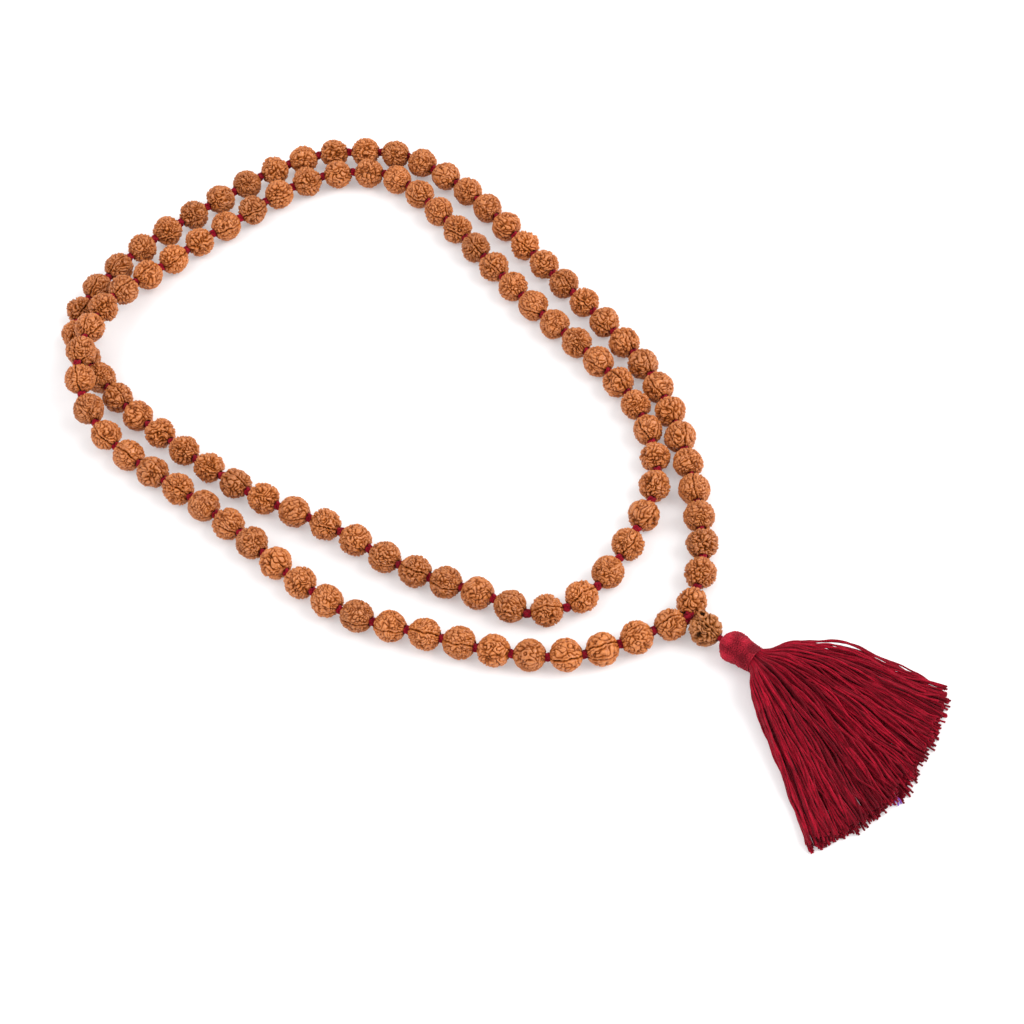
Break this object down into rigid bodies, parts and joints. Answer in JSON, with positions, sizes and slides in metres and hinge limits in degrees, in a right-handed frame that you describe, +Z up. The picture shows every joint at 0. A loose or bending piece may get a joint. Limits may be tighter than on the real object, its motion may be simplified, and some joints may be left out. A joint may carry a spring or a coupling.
{
  "type": "mala prayer beads",
  "caption": "Knotted strand of ribbed seed beads on a red cord, laid as a doubled loop, with a guru bead and a fanned red thread tassel.",
  "frame": {"origin": "centre of the laid-out footprint, on the surface it rests on", "axes": "+X along the loop towards the tassel, +Z up from the surface"},
  "size_m": [0.2713, 0.1351, 0.0152],
  "materials": {
    "seed_bead": "dry ribbed seed shell, orange brown with dark crevices",
    "guru_bead": "dry knobbly seed shell",
    "knotted_cord": "twisted crimson cotton cord",
    "tassel_head": "finely wound crimson thread",
    "tassel_skirt": "plied crimson cotton threads with cut ends"
  },
  "bodies": {
    "middle": {"cord_middle": "knotted_cord", "beads_middle_outer_front": "seed_bead", "beads_middle_inner_back": "seed_bead", "beads_middle_inner_front": "seed_bead", "beads_middle_outer_back": "seed_bead"},
    "far": {"cord_far": "knotted_cord", "beads_far_outer_front": "seed_bead", "beads_far_inner_back": "seed_bead", "beads_far_inner_front": "seed_bead", "beads_far_outer_back": "seed_bead"},
    "end_turn": {"cord_end_turn": "knotted_cord", "beads_end_crossing_over": "seed_bead", "beads_end_inner": "seed_bead", "beads_end_crossing_under": "seed_bead", "beads_end_outer": "seed_bead"},
    "near": {"cord_near": "knotted_cord", "beads_near_inner_back": "seed_bead", "beads_near_inner_front": "seed_bead"},
    "inner_turn": {"cord_inner_turn": "knotted_cord", "beads_inner_turn": "seed_bead"},
    "guru_end": {"cord_guru_end": "knotted_cord", "gathering_knot": "knotted_cord"},
    "hanger": {"hanger_cord": "knotted_cord"},
    "guru": {"guru_bead": "guru_bead"},
    "hanger_knot": {"hanger_knot": "knotted_cord"},
    "tassel_head": {"tassel_cord": "knotted_cord", "stop_knot": "knotted_cord", "tassel_core": "tassel_head", "head_winding": "tassel_head"},
    "skirt": {"skirt_core": "tassel_skirt", "tassel_skirt": "tassel_skirt"},
    "bead_1": {"bead_1": "seed_bead"},
    "bead_2": {"bead_2": "seed_bead"},
    "bead_3": {"bead_3": "seed_bead"},
    "bead_4": {"bead_4": "seed_bead"},
    "bead_5": {"bead_5": "seed_bead"},
    "bead_6": {"bead_6": "seed_bead"},
    "bead_7": {"bead_7": "seed_bead"},
    "bead_8": {"bead_8": "seed_bead"},
    "bead_9": {"bead_9": "seed_bead"},
    "bead_10": {"bead_10": "seed_bead"},
    "bead_100": {"bead_100": "seed_bead"},
    "bead_101": {"bead_101": "seed_bead"},
    "bead_102": {"bead_102": "seed_bead"},
    "bead_103": {"bead_103": "seed_bead"},
    "bead_104": {"bead_104": "seed_bead"},
    "bead_105": {"bead_105": "seed_bead"},
    "bead_106": {"bead_106": "seed_bead"},
    "bead_107": {"bead_107": "seed_bead"},
    "bead_108": {"bead_108": "seed_bead"}
  },
  "joints": [
    {"name": "fold_near", "type": "hinge", "parent": "middle", "child": "near", "pos_m": [0.0055, 0, 0.004], "axis": [0, -1, 0], "range_deg": [0, 35]},
    {"name": "fold_inner_turn", "type": "hinge", "parent": "near", "child": "inner_turn", "pos_m": [0.0295, 0, 0.004], "axis": [0, -1, 0], "range_deg": [0, 35]},
    {"name": "fold_guru_end", "type": "hinge", "parent": "inner_turn", "child": "guru_end", "pos_m": [0.057, 0, 0.004], "axis": [0, -1, 0], "range_deg": [0, 35]},
    {"name": "fold_far", "type": "hinge", "parent": "middle", "child": "far", "pos_m": [-0.04, 0, 0.004], "axis": [0, 1, 0], "range_deg": [0, 35]},
    {"name": "fold_end_turn", "type": "hinge", "parent": "far", "child": "end_turn", "pos_m": [-0.077, 0, 0.004], "axis": [0, 1, 0], "range_deg": [0, 35]},
    {"name": "guru_lift", "type": "hinge", "parent": "guru_end", "child": "hanger", "pos_m": [0.067, 0.0045, 0.0044], "axis": [0.1564, -0.9877, 0], "range_deg": [0, 35]},
    {"name": "tassel_swing", "type": "hinge", "parent": "hanger", "child": "hanger_knot", "pos_m": [0.07688, 0.00606, 0.0044], "axis": [0, 0, 1], "range_deg": [-30, 30]},
    {"name": "tassel_lift", "type": "hinge", "parent": "hanger_knot", "child": "tassel_head", "pos_m": [0.07688, 0.00606, 0.0044], "axis": [0.1564, -0.9877, 0], "range_deg": [0, 35]},
    {"name": "skirt_lift", "type": "hinge", "parent": "tassel_head", "child": "skirt", "pos_m": [0.08814, 0.00785, 0.0044], "axis": [0.1564, -0.9877, 0], "range_deg": [0, 30]},
    {"name": "guru_spin", "type": "hinge", "parent": "hanger", "child": "guru", "pos_m": [0.07253, 0.00538, 0.0044], "axis": [0.9877, 0.1564, 0], "continuous": true},
    {"name": "bead_1_spin", "type": "hinge", "parent": "guru_end", "child": "bead_1", "pos_m": [0.06547, 0.00035, 0.00433], "axis": [-0.3453, -0.9384, -0.0164], "continuous": true},
    {"name": "bead_2_spin", "type": "hinge", "parent": "guru_end", "child": "bead_2", "pos_m": [0.06243, -0.00794, 0.00418], "axis": [-0.3447, -0.9386, -0.0164], "continuous": true},
    {"name": "bead_3_spin", "type": "hinge", "parent": "guru_end", "child": "bead_3", "pos_m": [0.05895, -0.01604, 0.00406], "axis": [-0.4422, -0.8968, -0.0125], "continuous": true},
    {"name": "bead_4_spin", "type": "hinge", "parent": "inner_turn", "child": "bead_4", "pos_m": [0.05419, -0.02339, 0.004], "axis": [-0.639, -0.7692, 0], "continuous": true},
    {"name": "bead_5_spin", "type": "hinge", "parent": "inner_turn", "child": "bead_5", "pos_m": [0.04801, -0.02963, 0.004], "axis": [-0.7618, -0.6478, 0], "continuous": true},
    {"name": "bead_6_spin", "type": "hinge", "parent": "inner_turn", "child": "bead_6", "pos_m": [0.04097, -0.03492, 0.004], "axis": [-0.835, -0.5502, 0], "continuous": true},
    {"name": "bead_7_spin", "type": "hinge", "parent": "inner_turn", "child": "bead_7", "pos_m": [0.03339, -0.03942, 0.004], "axis": [-0.8821, -0.471, 0], "continuous": true},
    {"name": "bead_8_spin", "type": "hinge", "parent": "near", "child": "bead_8", "pos_m": [0.02562, -0.04383, 0.004], "axis": [-0.8578, -0.514, 0], "continuous": true},
    {"name": "bead_9_spin", "type": "hinge", "parent": "near", "child": "bead_9", "pos_m": [0.01783, -0.04844, 0.004], "axis": [-0.8636, -0.5042, 0], "continuous": true},
    {"name": "bead_10_spin", "type": "hinge", "parent": "near", "child": "bead_10", "pos_m": [0.00971, -0.05236, 0.004], "axis": [-0.9317, -0.3633, 0], "continuous": true},
    {"name": "bead_100_spin", "type": "hinge", "parent": "near", "child": "bead_100", "pos_m": [0.00965, 0.05042, 0.004], "axis": [0.9346, -0.3558, 0], "continuous": true},
    {"name": "bead_101_spin", "type": "hinge", "parent": "near", "child": "bead_101", "pos_m": [0.01781, 0.04689, 0.004], "axis": [0.8994, -0.4371, 0], "continuous": true},
    {"name": "bead_102_spin", "type": "hinge", "parent": "near", "child": "bead_102", "pos_m": [0.02565, 0.04273, 0.004], "axis": [0.8656, -0.5007, 0], "continuous": true},
    {"name": "bead_103_spin", "type": "hinge", "parent": "inner_turn", "child": "bead_103", "pos_m": [0.03312, 0.03818, 0.004], "axis": [0.8417, -0.54, 0], "continuous": true},
    {"name": "bead_104_spin", "type": "hinge", "parent": "inner_turn", "child": "bead_104", "pos_m": [0.04026, 0.03341, 0.004], "axis": [0.8209, -0.571, 0], "continuous": true},
    {"name": "bead_105_spin", "type": "hinge", "parent": "inner_turn", "child": "bead_105", "pos_m": [0.04718, 0.02833, 0.004], "axis": [0.7908, -0.6121, 0], "continuous": true},
    {"name": "bead_106_spin", "type": "hinge", "parent": "inner_turn", "child": "bead_106", "pos_m": [0.05379, 0.02285, 0.004], "axis": [0.7481, -0.6635, 0], "continuous": true},
    {"name": "bead_107_spin", "type": "hinge", "parent": "guru_end", "child": "bead_107", "pos_m": [0.05971, 0.01627, 0.00408], "axis": [0.5885, -0.8083, 0.0184], "continuous": true},
    {"name": "bead_108_spin", "type": "hinge", "parent": "guru_end", "child": "bead_108", "pos_m": [0.06471, 0.00852, 0.00428], "axis": [0.4939, -0.8692, 0.0249], "continuous": true}
  ]
}
